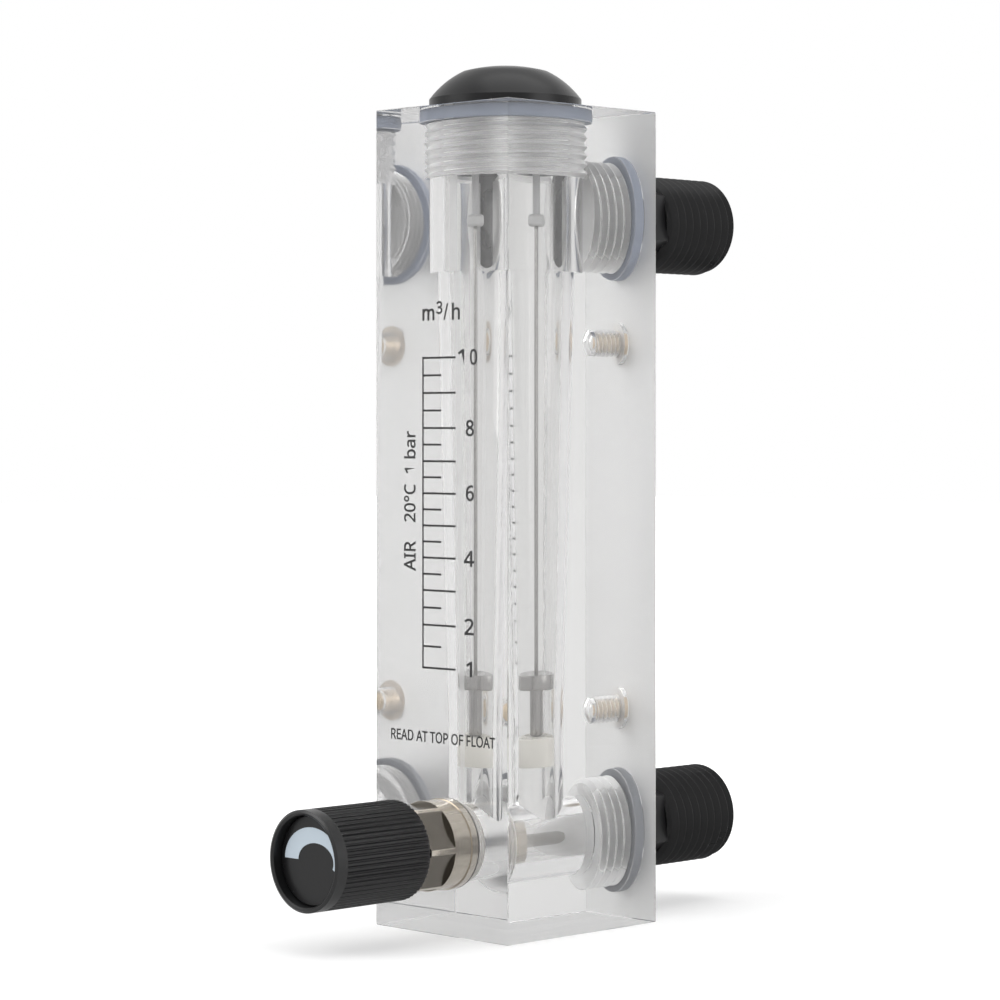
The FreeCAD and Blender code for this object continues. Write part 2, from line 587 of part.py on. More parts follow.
def make_port(side, height, inner):
    """Hose connector and its seal: thread in the block, hexagon, G 1/2 pipe thread and flow bore."""
    body = new_body(f"{side}_connector", y="axis_to_back", z=height)
    seal = f"-{PORT_SEAL_DEPTH}"
    core = "connector_flats / 2 - nut_core_gap"
    outline = [(inner, "flow_radius"), ("connector_reach", "flow_radius")]
    outline += [("connector_reach", "pipe_radius - pipe_lead")]
    outline += [("connector_reach - pipe_lead", "pipe_radius"), ("hexagon_end", "pipe_radius")]
    outline += [("hexagon_end", core), ("0", core)]
    outline += [("0", "connector_neck_radius"), (seal, "connector_neck_radius")]
    outline += [(seal, "port_thread_radius"), (inner, "port_thread_radius")]
    turned(body, "barrel", outline, upright=False)
    hexagon(body, "nut", "connector_flats", "connector_tilt", "-hexagon_end", "hexagon_end")
    behind = "hexagon_end + cut_over"
    bore = [("-cut_over", "0"), (behind, "0"), (behind, "flow_radius"), ("-cut_over", "flow_radius")]
    turned(body, "flow_bore", bore, upright=False, cut=True)
    start = "hexagon_end + thread_crest + thread_pitch / 2"
    width = "(thread_pitch - thread_crest)"
    rim = "pipe_radius + groove_over"
    root = "pipe_radius - thread_depth"
    groove = [(start, rim), (f"{start} + {width} / 2", root), (f"{start} + {width}", rim)]
    cut = turned(body, "groove", groove, upright=False, cut=True)
    along_y(body, "pipe_thread", cut, "thread_pitch", "thread_grooves")

    seal_body = new_body(f"{side}_port_seal", y="axis_to_back", z=height)
    squeezed_ring(seal_body, "seal", "connector_neck_radius", "port_seal_radius", "0", upright=False)


def make_insert(side, height):
    """Brass insert with a flange flush with the back face and a tapped bore, closed at its inner end."""
    body = new_body(f"{side}_insert", y="axis_to_back", z=height)
    flange = "-insert_flange_height"
    floor = "insert_floor - insert_length"
    outline = [("-insert_length", "0"), (floor, "0"), (floor, "insert_bore_radius")]
    outline += [("0", "insert_bore_radius"), ("0", "insert_flange_radius"), (flange, "insert_flange_radius")]
    outline += [(flange, "insert_radius"), ("-insert_length", "insert_radius")]
    turned(body, "sleeve", outline, upright=False)


make_block()
make_plug()
make_rod()
make_float()
make_bonnet()
make_spindle()
make_knob()
make_port("upper", UPPER_PORT, "-(upper_port_depth - upper_end_gap)")
make_port("lower", "port_height", "-(lower_port_depth - port_end_gap)")
make_insert("upper", UPPER_MOUNT)
make_insert("lower", LOWER_MOUNT)
doc.recompute()

for item in doc.Objects:
    if "Invalid" in item.State or "Error" in item.State:
        raise RuntimeError(f"{item.Name} failed: {item.State}")

os.makedirs("parts", exist_ok=True)
for item in doc.Objects:
    if item.TypeId != "PartDesign::Body":
        continue
    shape = item.Shape
    if shape.isNull() or not shape.isValid() or len(shape.Solids) != 1:
        raise RuntimeError(f"{item.Label} is not one valid solid")
    shape.exportStep(f"parts/{item.Label}.step")
    box = shape.BoundBox
    size = f"{box.XLength:7.2f} {box.YLength:7.2f} {box.ZLength:7.2f}"
    print(f"{item.Label:20s} {shape.Volume:10.1f} mm3  {size}")
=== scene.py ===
import math
import os

import bpy
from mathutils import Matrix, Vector


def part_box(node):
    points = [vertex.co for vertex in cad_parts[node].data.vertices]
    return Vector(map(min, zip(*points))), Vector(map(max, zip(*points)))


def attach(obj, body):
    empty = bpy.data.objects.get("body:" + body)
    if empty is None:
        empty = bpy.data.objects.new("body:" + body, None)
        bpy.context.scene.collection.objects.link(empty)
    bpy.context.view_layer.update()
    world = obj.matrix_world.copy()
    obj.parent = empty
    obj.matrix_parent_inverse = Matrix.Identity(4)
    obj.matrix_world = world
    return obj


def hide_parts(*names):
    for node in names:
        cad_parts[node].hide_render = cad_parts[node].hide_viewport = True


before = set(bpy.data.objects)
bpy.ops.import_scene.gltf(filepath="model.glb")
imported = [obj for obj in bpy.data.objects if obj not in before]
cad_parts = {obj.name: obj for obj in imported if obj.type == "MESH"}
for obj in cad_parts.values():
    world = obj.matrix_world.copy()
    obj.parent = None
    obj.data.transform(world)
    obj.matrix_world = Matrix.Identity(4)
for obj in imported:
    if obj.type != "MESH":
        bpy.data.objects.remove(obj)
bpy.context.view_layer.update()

for leftover in ("Cube", "Light", "Camera"):
    if leftover in bpy.data.objects:
        bpy.data.objects.remove(bpy.data.objects[leftover])

MM = 0.001
GRAIN = 0.00003             # depth of a moulded surface's grain, in metres
TOOL_LINES = 5200.0         # how close the rings on turned metal lie


# ---------------------------------------------------------------- shader maths

class Wire:
    """A shader socket that can stand in a Python expression."""

    def __init__(self, finish, socket):
        self.finish = finish
        self.socket = socket

    def sum_with(self, operation, first, second):
        return self.finish.node("ShaderNodeMath", {"operation": operation}, {0: first, 1: second})

    def __add__(self, other):
        return self.sum_with("ADD", self, other)

    def __mul__(self, other):
        return self.sum_with("MULTIPLY", self, other)

    def __gt__(self, other):
        return self.sum_with("GREATER_THAN", self, other)

    def __lt__(self, other):
        return self.sum_with("LESS_THAN", self, other)

    def size(self):
        return self.sum_with("ABSOLUTE", self, 0.0)

    __radd__ = __add__
    __rmul__ = __mul__


class Finish:
    """A node tree under construction: a material's, or the world's."""

    def __init__(self, owner):
        owner.use_nodes = True
        self.tree = owner.node_tree
        self.tree.nodes.clear()

    def node(self, kind, settings=None, inputs=None, output=0):
        """Adds a node, sets it up, then fills its sockets with numbers, colours or wires."""
        node = self.tree.nodes.new(kind)
        for key, value in (settings or {}).items():
            if key == "stops":
                self.set_stops(node.color_ramp, value)
            else:
                setattr(node, key, value)
        for key, value in (inputs or {}).items():
            if isinstance(value, Wire):
                self.tree.links.new(value.socket, node.inputs[key])
            else:
                node.inputs[key].default_value = value
        return Wire(self, node.outputs[output]) if len(node.outputs) else node

    def set_stops(self, ramp, stops):
        while len(ramp.elements) < len(stops):
            ramp.elements.new(1.0)
        for element, (place, value) in zip(ramp.elements, stops):
            element.position = place
            element.color = (*value, 1.0) if isinstance(value, tuple) else (value, value, value, 1.0)

    def place(self):
        """Where a surface point is on the object."""
        return self.node("ShaderNodeTexCoord", output="Object")

    def stretched(self, scale):
        return self.node("ShaderNodeMapping", inputs={"Vector": self.place(), "Scale": scale})

    def noise(self, scale, detail=2.0, vector=None, roughness=0.5):
        inputs = {"Vector": vector or self.place(), "Scale": scale, "Detail": detail, "Roughness": roughness}
        return self.node("ShaderNodeTexNoise", inputs=inputs)

    def ramp(self, wire, stops):
        return self.node("ShaderNodeValToRGB", {"stops": stops}, {"Fac": wire})

    def mixed(self, factor, first, second):
        return self.node("ShaderNodeMix", {"data_type": "RGBA"}, {0: factor, 6: first, 7: second}, output=2)

    def bump(self, height, strength, distance):
        inputs = {"Height": height, "Strength": strength, "Distance": distance}
        return self.node("ShaderNodeBump", inputs=inputs)

    def in_hole(self, height, radius, low, high, upright=False):
        """1 in a round hole and 0 elsewhere. It lies along Y at a height, or stands on the object's own axis.
        All lengths are in millimetres."""
        across = (1, 1, 0) if upright else (1, 0, 1)
        axis = (0, 0, height * MM)
        off = self.node("ShaderNodeVectorMath", {"operation": "SUBTRACT"}, {0: self.place(), 1: axis})
        off = self.node("ShaderNodeVectorMath", {"operation": "MULTIPLY"}, {0: off, 1: across})
        reach = self.node("ShaderNodeVectorMath", {"operation": "LENGTH"}, {0: off}, output=1)
        along = self.node("ShaderNodeSeparateXYZ", inputs={0: self.place()}, output=2 if upright else 1)
        return (reach < radius * MM) * (along > low * MM) * (along < high * MM)

    def light_path(self, name):
        return self.node("ShaderNodeLightPath", output=name)

    def surface(self, shader):
        target = "World" if isinstance(self.owner, bpy.types.World) else "Material"
        self.node("ShaderNodeOutput" + target, inputs={"Surface": shader})


def new_finish(name):
    material = bpy.data.materials.new(name)
    finish = Finish(material)
    finish.owner = material
    return material, finish


def rgb(red, green, blue):
    return (red, green, blue, 1.0)


def clear_acrylic():
    """Polished cast acrylic, matt where drilled or tapped. Shadow rays pass and light what is inside."""
    material, f = new_finish("clear_acrylic")
    cloud = f.noise(90.0, 3.0)
    depth = f.node("ShaderNodeSeparateXYZ", inputs={0: f.place()}, output=1)
    facing = f.node("ShaderNodeNewGeometry", output="True Normal")
    squareness = f.node("ShaderNodeSeparateXYZ", inputs={0: facing}, output=1).size()
    drilled = (squareness > 0.995) * (depth > (FRONT + 1) * MM)
    port_end = SEAL_LOW[1]
    tapped = f.in_hole(0, PLUG_THREAD + 0.05, TAPPED_FOOT, PLUG_SEAL_LOW[2], upright=True)
    tapped = tapped + f.in_hole(UPPER_AXIS, PORT_RADIUS + 0.05, UPPER_PORT_FLOOR, port_end)
    tapped = tapped + f.in_hole(LOWER_AXIS, PORT_RADIUS + 0.05, LOWER_PORT_FLOOR, port_end)
    tapped = tapped + f.in_hole(LOWER_AXIS, WAY_RADIUS + 0.4, GASKET_HIGH[1], SHANK_END)
    for low, high in ((LOWER_INSERT_LOW, LOWER_INSERT_HIGH), (INSERT_LOW, INSERT_HIGH)):
        tapped = tapped + f.in_hole((low[2] + high[2]) / 2, INSERT_RADIUS + 0.05, low[1], BACK)
    tint = f.mixed(cloud, rgb(0.83, 0.828, 0.822), rgb(0.85, 0.848, 0.844))
    polish = f.ramp(f.noise(260.0, 2.0), [(0.35, 0.0), (0.75, 0.02)])
    ripple = f.bump(f.noise(55.0, 1.0), 0.04, 0.0002)
    glass = f.node("ShaderNodeBsdfPrincipled", inputs={
        "Base Color": tint, "Roughness": polish + drilled * 0.6 + tapped * 0.36, "IOR": ACRYLIC_IOR,
        "Transmission Weight": 1.0,
        "Normal": ripple})
    haze = f.node("ShaderNodeBsdfDiffuse", inputs={"Color": rgb(0.88, 0.875, 0.875)})
    veil = drilled * 0.3 + tapped * 0.22 + 0.05
    body = f.node("ShaderNodeMixShader", inputs={0: veil, 1: glass, 2: haze})
    passing = f.node("ShaderNodeBsdfTransparent", inputs={"Color": rgb(0.93, 0.935, 0.94)})
    f.surface(f.node("ShaderNodeMixShader", inputs={0: f.light_path("Is Shadow Ray"), 1: body, 2: passing}))
    return material


def moulded_plastic(name, colour, gloss=0.38, shine=0.35):
    """Injection moulded plastic: a fine spark-eroded grain and a little cloud, shinier here and there."""
    material, f = new_finish(name)
    cloud = f.noise(60.0, 3.0)
    lighter = tuple(min(1.0, c * 1.35 + 0.004) for c in colour)
    base = f.mixed(cloud, rgb(*colour), rgb(*lighter))
    wear = f.ramp(f.noise(35.0, 4.0), [(0.3, gloss - 0.06), (0.7, gloss + 0.08)])
    texture = f.bump(f.noise(1400.0, 2.0), 0.35, GRAIN)
    f.surface(f.node("ShaderNodeBsdfPrincipled", inputs={
        "Base Color": base, "Roughness": wear, "IOR": 1.5, "Specular IOR Level": shine, "Normal": texture}))
    return material


def rubber(name, colour):
    material, f = new_finish(name)
    dust = f.noise(180.0, 4.0)
    paler = tuple(min(1.0, c * 1.25 + 0.01) for c in colour)
    base = f.mixed(dust, rgb(*colour), rgb(*paler))
    skin = f.bump(f.noise(900.0, 2.0), 0.2, GRAIN)
    f.surface(f.node("ShaderNodeBsdfPrincipled", inputs={
        "Base Color": base, "Roughness": 0.45, "IOR": 1.5, "Normal": skin}))
    return material


def turned_metal(name, colour, axis, gloss=0.22, painted_reflection_span=None):
    """Lathe-turned metal: fine rings round its axis, and a faint cloud in the polish. The last argument is a
    stretch along the valve, as radius, low and high, where a dark reflection is painted into the colour."""
    material, f = new_finish(name)
    squeeze = [0.002 * TOOL_LINES] * 3
    squeeze[axis] = TOOL_LINES
    rings = f.noise(1.0, 2.0, vector=f.stretched(squeeze))
    cloud = f.noise(120.0, 3.0)
    darker = tuple(c * 0.86 for c in colour)
    base = f.mixed(rings, rgb(*darker), rgb(*colour))
    # painted dark reflection: inside that stretch the base colour drops to 0.3 of the metal's colour
    if painted_reflection_span:
        base = f.mixed(f.in_hole(LOWER_AXIS, *painted_reflection_span), base, rgb(*(c * 0.3 for c in colour)))
    polish = f.ramp(cloud, [(0.3, gloss - 0.06), (0.75, gloss + 0.08)])
    relief = f.bump(rings, 0.25, 0.00001)
    f.surface(f.node("ShaderNodeBsdfPrincipled", inputs={
        "Base Color": base, "Metallic": 1.0, "Roughness": polish, "Normal": relief}))
    return material


def ink(name, colour):
    """Screen-printed ink: matt, a little uneven."""
    material, f = new_finish(name)
    coat = f.noise(700.0, 3.0)
    thin = tuple(c + 0.025 for c in colour)
    base = f.mixed(coat, rgb(*colour), rgb(*thin))
    f.surface(f.node("ShaderNodeBsdfPrincipled", inputs={"Base Color": base, "Roughness": 0.55, "IOR": 1.45}))
    return material


# ---------------------------------------------------------------- modelling helpers

def deselect():
    if bpy.context.mode != "OBJECT":
        bpy.ops.object.mode_set(mode="OBJECT")
    bpy.ops.object.select_all(action="DESELECT")


def only(piece):
    deselect()
    piece.select_set(True)
    bpy.context.view_layer.objects.active = piece


def apply_modifier(piece, kind, **settings):
    only(piece)
    modifier = piece.modifiers.new(kind.title(), kind)
    for key, value in settings.items():
        setattr(modifier, key, value)
    bpy.ops.object.modifier_apply(modifier=modifier.name)


def settle(piece, place=(0, 0, 0), along="Z"):
    """Turns a piece made about Z so that it lies along the named direction, places it and applies both."""
    only(piece)
    piece.rotation_euler = {"Z": (0, 0, 0), "Y": (-math.pi / 2, 0, 0)}[along]
    piece.location = place
    bpy.ops.object.transform_apply(location=True, rotation=True, scale=True)


def drawn_line(name, points, closed):
    """A profile drawn in the XZ plane: one vertex, extruded from point to point."""
    deselect()
    bpy.ops.mesh.primitive_plane_add(size=MM)
    line = bpy.context.object
    line.name = name
    line.data.name = name
    bpy.ops.object.mode_set(mode="EDIT")
    bpy.ops.mesh.merge(type="CENTER")
    last = Vector((points[0][0], 0, points[0][1]))
    bpy.ops.transform.translate(value=last)
    for across, up in points[1:]:
        here = Vector((across, 0, up))
        bpy.ops.mesh.extrude_vertices_move(TRANSFORM_OT_translate={"value": here - last})
        last = here
    if closed:
        bpy.ops.mesh.select_all(action="SELECT")
        ends = line_ends(line)
        bpy.ops.mesh.select_all(action="DESELECT")
        bpy.ops.object.mode_set(mode="OBJECT")
        for index in ends:
            line.data.vertices[index].select = True
        bpy.ops.object.mode_set(mode="EDIT")
        bpy.ops.mesh.edge_face_add()
    bpy.ops.object.mode_set(mode="OBJECT")
    return line


def line_ends(line):
    """The two vertices of an open line that have one edge each."""
    line.update_from_editmode()
    uses = {}
    for edge in line.data.edges:
        for vertex in edge.vertices:
            uses[vertex] = uses.get(vertex, 0) + 1
    return [v for v, count in uses.items() if count == 1]


def soften(piece, width, segments=2):
    """Rounds a profile's corners before it is turned."""
    apply_modifier(piece, "BEVEL", affect="VERTICES", width=width, segments=segments, limit_method="NONE")


def outward(piece):
    only(piece)
    bpy.ops.object.mode_set(mode="EDIT")
    bpy.ops.mesh.select_all(action="SELECT")
    bpy.ops.mesh.remove_doubles(threshold=0.000002)
    bpy.ops.mesh.normals_make_consistent(inside=False)
    bpy.ops.object.mode_set(mode="OBJECT")


def smooth(piece, degrees=32):
    only(piece)
    bpy.ops.object.shade_smooth_by_angle(angle=math.radians(degrees))


def turned(name, points, place=(0, 0, 0), along="Z", segments=128, rounding=0.0, steps=2):
    """A turned piece: the profile, given as radius and height in millimetres, goes once round the axis."""
    on_axis = points[0][0] == 0 and points[-1][0] == 0
    piece = drawn_line(name, [(radius * MM, height * MM) for radius, height in points], closed=not on_axis)
    if rounding:
        soften(piece, rounding * MM, steps)
    apply_modifier(piece, "SCREW", axis="Z", angle=2 * math.pi, steps=segments, render_steps=segments,
                   use_merge_vertices=True, merge_threshold=0.000002, use_smooth_shade=True)
    outward(piece)
    settle(piece, place, along)
    smooth(piece)
    return piece


def block_profile(inner, outer, low, high):
    """The square section of a plain ring, or of a disc where `inner` is 0."""
    return [(inner, low), (outer, low), (outer, high), (inner, high)]


def trim(piece, height, keep_above):
    """Cuts a piece square to Z at a height and closes the cut."""
    only(piece)
    bpy.ops.object.mode_set(mode="EDIT")
    bpy.ops.mesh.select_all(action="SELECT")
    bpy.ops.mesh.bisect(plane_co=(0, 0, height), plane_no=(0, 0, 1), use_fill=True, threshold=1e-8,
                        clear_inner=keep_above, clear_outer=not keep_above)
    bpy.ops.object.mode_set(mode="OBJECT")


def threaded_rod(name, radius, depth, pitch, low, high, place=(0, 0, 0), along="Z", segments=128, flat=0.05,
                 rounding=0.0):
    """A right-hand V thread from height `low` to `high`, closed at both ends. `flat` is the share of the
    pitch that its crest and its root each keep flat. All lengths are in millimetres."""
    crest = flat * pitch / 2
    root = radius - depth
    wave = [(root, 0), (root, crest), (radius, pitch / 2 - crest), (radius, pitch / 2 + crest)]
    wave += [(root, pitch - crest), (root, pitch)]
    piece = drawn_line(name, [(r * MM, z * MM) for r, z in wave], closed=False)
    if rounding:
        soften(piece, rounding * MM, 2)
    first = math.floor(low / pitch) - 2
    turns = math.ceil(high / pitch) + 2 - first
    apply_modifier(piece, "SCREW", axis="Z", angle=2 * math.pi, screw_offset=pitch * MM, iterations=turns,
                   steps=segments, render_steps=segments, use_merge_vertices=True, merge_threshold=0.000002,
                   use_smooth_shade=True)
    settle(piece, (0, 0, first * pitch * MM))
    outward(piece)
    trim(piece, low * MM, True)
    trim(piece, high * MM, False)
    outward(piece)
    settle(piece, place, along)
    return piece


def combine(piece, others, operation):
    """Joins, cuts or keeps the overlap of a piece with others, which are used up."""
    for other in others:
        apply_modifier(piece, "BOOLEAN", object=other, operation=operation, solver="EXACT")
        bpy.data.objects.remove(other)
    return piece


def finish_piece(piece, material, body, replaced=()):
    piece.data.materials.clear()
    piece.data.materials.append(material)
    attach(piece, body)
    if replaced:
        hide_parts(*replaced)
    return piece


# ---------------------------------------------------------------- sizes, in millimetres

ACRYLIC_IOR = 1.49


def edges_of(node):
    low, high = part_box(node)
    return [c / MM for c in low], [c / MM for c in high]


BLOCK_LOW, BLOCK_HIGH = edges_of("block")
FRONT = BLOCK_LOW[1]
BACK = BLOCK_HIGH[1]
TOP = BLOCK_HIGH[2]
PLUG_LOW, PLUG_HIGH = edges_of("top_plug")
CONNECTOR_LOW, CONNECTOR_HIGH = edges_of("lower_connector")
UPPER_LOW, UPPER_HIGH = edges_of("upper_connector")
LOWER_AXIS = (CONNECTOR_LOW[2] + CONNECTOR_HIGH[2]) / 2
UPPER_AXIS = (UPPER_LOW[2] + UPPER_HIGH[2]) / 2
PORT_RADIUS = (CONNECTOR_HIGH[0] - CONNECTOR_LOW[0]) / 2
SEAL_LOW, SEAL_HIGH = edges_of("lower_port_seal")
SEAL_RADIUS = SEAL_HIGH[0]
PLUG_SEAL_LOW, PLUG_SEAL_HIGH = edges_of("plug_seal")
GASKET_LOW, GASKET_HIGH = edges_of("bonnet_gasket")
BONNET_LOW, BONNET_HIGH = edges_of("bonnet")
GUIDE_LOW, GUIDE_HIGH = edges_of("lower_guide")
SEAT_LOW, SEAT_HIGH = edges_of("valve_seat")
INSERT_LOW, INSERT_HIGH = edges_of("upper_insert")
LOWER_INSERT_LOW, LOWER_INSERT_HIGH = edges_of("lower_insert")
KNOB_LOW, KNOB_HIGH = edges_of("knob")
CAP_LOW, CAP_HIGH = edges_of("knob_cap")

WALL_GAP = 0.06             # air between a thread and the acrylic
WETTING = 0.05              # how far a pressed seal stands into the acrylic, so that no air shows between
BORE_FOOT = GUIDE_HIGH[0]
WAY_RADIUS = SEAT_HIGH[0]
TAPER_START = LOWER_AXIS + 22.4
TAPER_END = UPPER_AXIS - 12.1
TAPER_END_RADIUS = 9.9
CHAMBER_RADIUS = 12.0
PLUG_PITCH = 1.85
PLUG_THREAD = 13.22
PLUG_THREAD_DEPTH = 0.87
PLUG_FOOT = PLUG_LOW[2]
TAPPED_FOOT = PLUG_FOOT - 1.5
PORT_PITCH = 2.31
PORT_THREAD_DEPTH = 1.09
LOWER_PORT_FLOOR = BACK - 12.4
UPPER_PORT_FLOOR = BACK - 13.8
SHANK_PITCH = 1.25
SHANK_THREAD_DEPTH = 0.75
SHANK_END = FRONT + 8.6
SEAT_BORE = 2.1
INSERT_RADIUS = 2.9
INSERT_PITCH = 1.3
INSERT_THREAD_DEPTH = 0.6
INSERT_LENGTH = INSERT_HIGH[1] - INSERT_LOW[1]
DRILL_RADIUS = 2.75
MOUNT_DEPTH = 11.6
PIPE_RADIUS = 10.4775
PIPE_PITCH = 2.3
PIPE_THREAD_DEPTH = 1.25
FLOW_BORE = 6.2
BEAD_RADIUS = 3.2
ROD_HOLE = 0.78             # radius of the hole for the guide rod
FLUTES = 57                 # on the knob
BONNET_FLATS = 16.4
FLATS_END = 7.6             # of the bonnet's flats and its shoulder, in front of the gasket
SHOULDER = 14.9


# ---------------------------------------------------------------- the block

def bore_cutters():
    """Everything that is bored, tapped and sunk in the block."""
    run = 1.0
    seal_floor = PLUG_SEAL_LOW[2]
    metering = [(0, LOWER_AXIS), (BORE_FOOT, LOWER_AXIS), (BORE_FOOT, TAPER_START)]
    metering += [(TAPER_END_RADIUS, TAPER_END), (CHAMBER_RADIUS, TAPER_END), (CHAMBER_RADIUS, seal_floor)]
    metering += [(PLUG_SEAL_HIGH[0], seal_floor)]
    metering += [(PLUG_SEAL_HIGH[0], TOP + run), (0, TOP + run)]
    cutters = [turned("metering_bore", metering, segments=192)]
    cutters.append(threaded_rod("plug_tapping", PLUG_THREAD, PLUG_THREAD_DEPTH, PLUG_PITCH, TAPPED_FOOT,
                                seal_floor + 0.3))
    way = [(0, -run), (GASKET_HIGH[0], -run), (GASKET_HIGH[0], GASKET_HIGH[1] - FRONT)]
    seat_start = SEAT_LOW[1] - FRONT
    seat_end = SEAT_HIGH[1] - FRONT
    way_end = LOWER_PORT_FLOOR - FRONT + 0.2
    way += [(WAY_RADIUS, GASKET_HIGH[1] - FRONT), (WAY_RADIUS, seat_start), (SEAT_BORE, seat_start)]
    way += [(SEAT_BORE, seat_end), (WAY_RADIUS, seat_end), (WAY_RADIUS, way_end), (0, way_end)]
    cutters.append(turned("valve_way", way, (0, FRONT * MM, LOWER_AXIS * MM), "Y", segments=160))
    cutters.append(threaded_rod("shank_tapping", WAY_RADIUS + 0.35, SHANK_THREAD_DEPTH, SHANK_PITCH,
                                GASKET_HIGH[1] - FRONT - 0.2, SHANK_END - FRONT,
                                (0, FRONT * MM, LOWER_AXIS * MM), "Y", segments=96))
    for name, axis, floor in (("lower", LOWER_AXIS, LOWER_PORT_FLOOR),
                              ("upper", UPPER_AXIS, UPPER_PORT_FLOOR)):
        place = (0, BACK * MM, axis * MM)
        seal_floor = SEAL_LOW[1] - BACK
        recess = [(0, seal_floor), (SEAL_RADIUS, seal_floor), (SEAL_RADIUS, run), (0, run)]
        cutters.append(turned(name + "_recess", recess, place, "Y", segments=160))
        cutters.append(threaded_rod(name + "_tapping", PORT_RADIUS, PORT_THREAD_DEPTH, PORT_PITCH,
                                    floor - BACK, seal_floor + 0.3, place, "Y"))
    for name, low, high in (("lower", LOWER_INSERT_LOW, LOWER_INSERT_HIGH),
                            ("upper", INSERT_LOW, INSERT_HIGH)):
        axis = (low[2] + high[2]) / 2
        place = (0, BACK * MM, axis * MM)
        flange = INSERT_HIGH[0]
        sink = -1.2
        crest = INSERT_RADIUS - INSERT_THREAD_DEPTH
        hole = [(0, -MOUNT_DEPTH), (DRILL_RADIUS, -MOUNT_DEPTH + 1.65), (DRILL_RADIUS, -INSERT_LENGTH - 0.3)]
        hole += [(crest, -INSERT_LENGTH - 0.3), (crest, sink), (flange, sink), (flange, run), (0, run)]
        cutters.append(turned(name + "_mount_hole", hole, place, "Y", segments=96))
        cutters.append(threaded_rod(name + "_mount_tapping", INSERT_RADIUS, INSERT_THREAD_DEPTH, INSERT_PITCH,
                                    -INSERT_LENGTH - 0.1, sink + 0.1, place, "Y", segments=64))
    return cutters


def make_block(material):
    deselect()
    middle = [(a + b) / 2 * MM for a, b in zip(BLOCK_LOW, BLOCK_HIGH)]
    bpy.ops.mesh.primitive_cube_add(size=1, location=middle)
    block = bpy.context.object
    block.name = "acrylic_block"
    block.data.name = "acrylic_block"
    block.scale = [(b - a) * MM for a, b in zip(BLOCK_LOW, BLOCK_HIGH)]
    bpy.ops.object.transform_apply(location=True, rotation=True, scale=True)
    apply_modifier(block, "BEVEL", width=0.15 * MM, segments=1, limit_method="NONE")
    combine(block, bore_cutters(), "DIFFERENCE")
    outward(block)
    smooth(block, 25)
    return finish_piece(block, material, "base", ["block", "valve_seat"])


# ---------------------------------------------------------------- plug, seals, rod and float

def curve(start, end, radius, steps=8):
    """Points of an arc from start to end that bulges to the right of the way."""
    first, last = Vector(start), Vector(end)
    chord = last - first
    left = Vector((-chord.y, chord.x)).normalized()
    centre = (first + last) / 2 + left * math.sqrt(radius ** 2 - chord.length ** 2 / 4)
    low = math.atan2(first.y - centre.y, first.x - centre.x)
    high = math.atan2(last.y - centre.y, last.x - centre.x)
    angles = [low + (high - low) * i / steps for i in range(1, steps + 1)]
    return [(round(centre.x + radius * math.cos(a), 4), centre.y + radius * math.sin(a)) for a in angles]


def make_plug(material):
    head = PLUG_HIGH[0]
    neck = PLUG_SEAL_HIGH[0] - 2.4
    crown = PLUG_HIGH[2]
    foot = PLUG_FOOT
    profile = [(0, foot + 6), (1.45, foot + 6), (1.45, foot), (3.2, foot), (3.2, foot + 7), (9.5, foot + 7)]
    profile += [(9.5, foot), (PLUG_THREAD - 1.6, foot), (PLUG_THREAD - 1.6, PLUG_SEAL_LOW[2])]
    profile += [(neck, PLUG_SEAL_LOW[2]), (neck, TOP + 0.02), (head - 0.25, TOP + 0.02), (head, TOP + 0.3)]
    rim, shoulder = (head, TOP + 2.1), (9.0, crown - 1.2)
    profile += [rim] + curve(rim, shoulder, 19.0) + curve(shoulder, (0, crown), (9.0 ** 2 + 1.2 ** 2) / 2.4)
    plug = turned("domed_plug", profile, segments=160)
    thread = threaded_rod("plug_thread", PLUG_THREAD - WALL_GAP, PLUG_THREAD_DEPTH, PLUG_PITCH, PLUG_FOOT,
                          PLUG_SEAL_LOW[2] - 0.15)
    hollow = turned("plug_hollow", [(0, foot - 1), (10.5, foot - 1), (10.5, foot + 14), (0, foot + 14)])
    combine(thread, [hollow], "DIFFERENCE")
    smooth(thread, 20)
    smooth(plug, 40)
    finish_piece(thread, material, "base")
    return finish_piece(plug, material, "base", ["top_plug"])


def make_oring(name, node, along, material):
    """A squeezed seal ring, wetting the acrylic that it bears on."""
    low, high = edges_of(node)
    outer = high[0]
    if along == "Z":
        start, end, place = low[2], high[2], (0, 0, 0)
    else:
        start, end, place = low[1], high[1], (0, 0, (low[2] + high[2]) / 2 * MM)
    inner = outer - (end - start - 0.4)
    points = block_profile(inner + 0.02, outer + WETTING, start - WETTING, end - 0.02)
    ring = turned(name, points, place, along, segments=160, rounding=0.3, steps=3)
    smooth(ring, 40)
    return finish_piece(ring, material, "base", [node])


